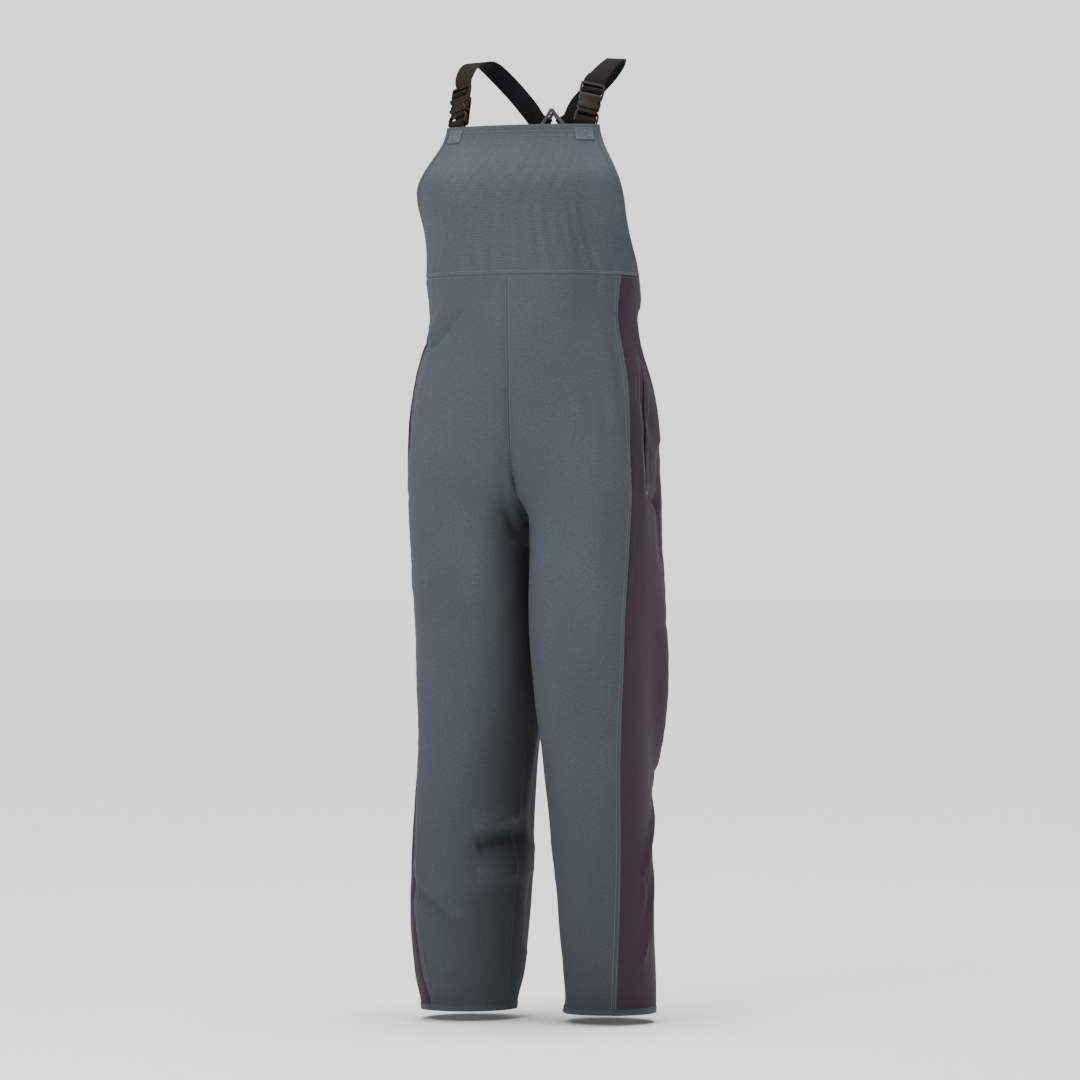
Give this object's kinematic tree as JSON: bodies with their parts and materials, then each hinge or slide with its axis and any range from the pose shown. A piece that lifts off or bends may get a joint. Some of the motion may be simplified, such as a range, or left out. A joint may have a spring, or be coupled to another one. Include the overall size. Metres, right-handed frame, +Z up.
{
  "type": "bib-and-brace overalls",
  "caption": "Protective bib-and-brace overalls with side-release buckles, webbing braces and a triangular back joiner; legs swing at the hips.",
  "frame": {"origin": "midway between the shoulders, level with the crests of the braces, where the wearer carries the garment", "axes": "+Z up, +X to the wearer's left, -Y to the wearer's front"},
  "size_m": [0.3828, 0.2805, 1.4733],
  "materials": {
    "slate_cloth": "matt coated cloth, slate grey",
    "plum_cloth": "matt coated cloth, dark plum",
    "binding": "folded woven binding, stitched",
    "tape": "smooth sealing tape",
    "webbing": "ribbed elastic webbing, brown-black",
    "buckle_plastic": "moulded plastic, fine satin grain",
    "joiner_plastic": "moulded plastic, mid grey"
  },
  "bodies": {
    "root": {"bib_front": "slate_cloth", "bib_top_hem": "slate_cloth", "waist_seam_tape": "tape", "front_seam_tape": "tape", "back_seam_tape": "tape", "back_top_hem": "slate_cloth", "front_body_left": "slate_cloth", "front_body_right": "slate_cloth", "side_body_left": "plum_cloth", "side_body_right": "plum_cloth", "back_body_left": "slate_cloth", "back_body_right": "slate_cloth", "armhole_binding_left": "binding", "armhole_binding_right": "binding", "slit_facing_left": "plum_cloth", "slit_facing_right": "plum_cloth", "buckle_tab_left": "webbing", "buckle_tab_right": "webbing", "tab_patch_left": "slate_cloth", "tab_patch_right": "slate_cloth", "plug_left": "buckle_plastic", "plug_right": "buckle_plastic", "brace_left": "webbing", "brace_right": "webbing", "back_strap": "webbing", "back_strap_patch": "slate_cloth"},
    "leg_left": {"front_leg_left": "slate_cloth", "side_leg_left": "plum_cloth", "back_leg_left": "slate_cloth", "hem_band_left": "binding"},
    "socket_left": {"socket_left": "buckle_plastic"},
    "inner_arm_left": {"inner_arm_left": "buckle_plastic"},
    "outer_arm_left": {"outer_arm_left": "buckle_plastic"},
    "leg_right": {"front_leg_right": "slate_cloth", "side_leg_right": "plum_cloth", "back_leg_right": "slate_cloth", "hem_band_right": "binding"},
    "socket_right": {"socket_right": "buckle_plastic"},
    "inner_arm_right": {"inner_arm_right": "buckle_plastic"},
    "outer_arm_right": {"outer_arm_right": "buckle_plastic"},
    "joiner": {"back_joiner": "joiner_plastic"}
  },
  "joints": [
    {"name": "left_hip_swing", "type": "hinge", "parent": "root", "child": "leg_left", "pos_m": [0.1, 0.01, -0.61], "axis": [-1, 0, 0], "range_deg": [-15, 40]},
    {"name": "right_hip_swing", "type": "hinge", "parent": "root", "child": "leg_right", "pos_m": [-0.1, 0.01, -0.61], "axis": [-1, 0, 0], "range_deg": [-15, 40]},
    {"name": "left_buckle_release", "type": "slide", "parent": "root", "child": "socket_left", "axis": [0.0474, 0.4226, 0.9051], "range_m": [0, 0.024], "deforming": ["brace_left", "inner_arm_left", "outer_arm_left"]},
    {"name": "left_inner_arm_squeeze", "type": "hinge", "parent": "root", "child": "inner_arm_left", "pos_m": [0.09568, -0.05905, -0.0825], "axis": [-0.4264, 0.828, -0.3643], "range_deg": [0, 12], "stiffness_Nm_per_rad": 0.05},
    {"name": "left_outer_arm_squeeze", "type": "hinge", "parent": "root", "child": "outer_arm_left", "pos_m": [0.11736, -0.05021, -0.08777], "axis": [0.4264, -0.828, 0.3643], "range_deg": [0, 12], "stiffness_Nm_per_rad": 0.05},
    {"name": "right_buckle_release", "type": "slide", "parent": "root", "child": "socket_right", "axis": [-0.0474, 0.4226, 0.9051], "range_m": [0, 0.024], "deforming": ["brace_right", "inner_arm_right", "outer_arm_right"]},
    {"name": "right_inner_arm_squeeze", "type": "hinge", "parent": "root", "child": "inner_arm_right", "pos_m": [-0.09568, -0.05905, -0.0825], "axis": [-0.4264, -0.828, 0.3643], "range_deg": [0, 12], "stiffness_Nm_per_rad": 0.05},
    {"name": "right_outer_arm_squeeze", "type": "hinge", "parent": "root", "child": "outer_arm_right", "pos_m": [-0.11736, -0.05021, -0.08777], "axis": [0.4264, 0.828, -0.3643], "range_deg": [0, 12], "stiffness_Nm_per_rad": 0.05},
    {"name": "joiner_tilt", "type": "hinge", "parent": "root", "child": "joiner", "pos_m": [0, 0.09499, -0.13008], "axis": [1, 0, 0], "range_deg": [-12, 12], "deforming": ["brace_left", "brace_right"]}
  ],
  "couplings": [
    {"joint": "left_inner_arm_squeeze", "follows": "left_outer_arm_squeeze", "ratio": 1},
    {"joint": "right_inner_arm_squeeze", "follows": "right_outer_arm_squeeze", "ratio": 1}
  ]
}
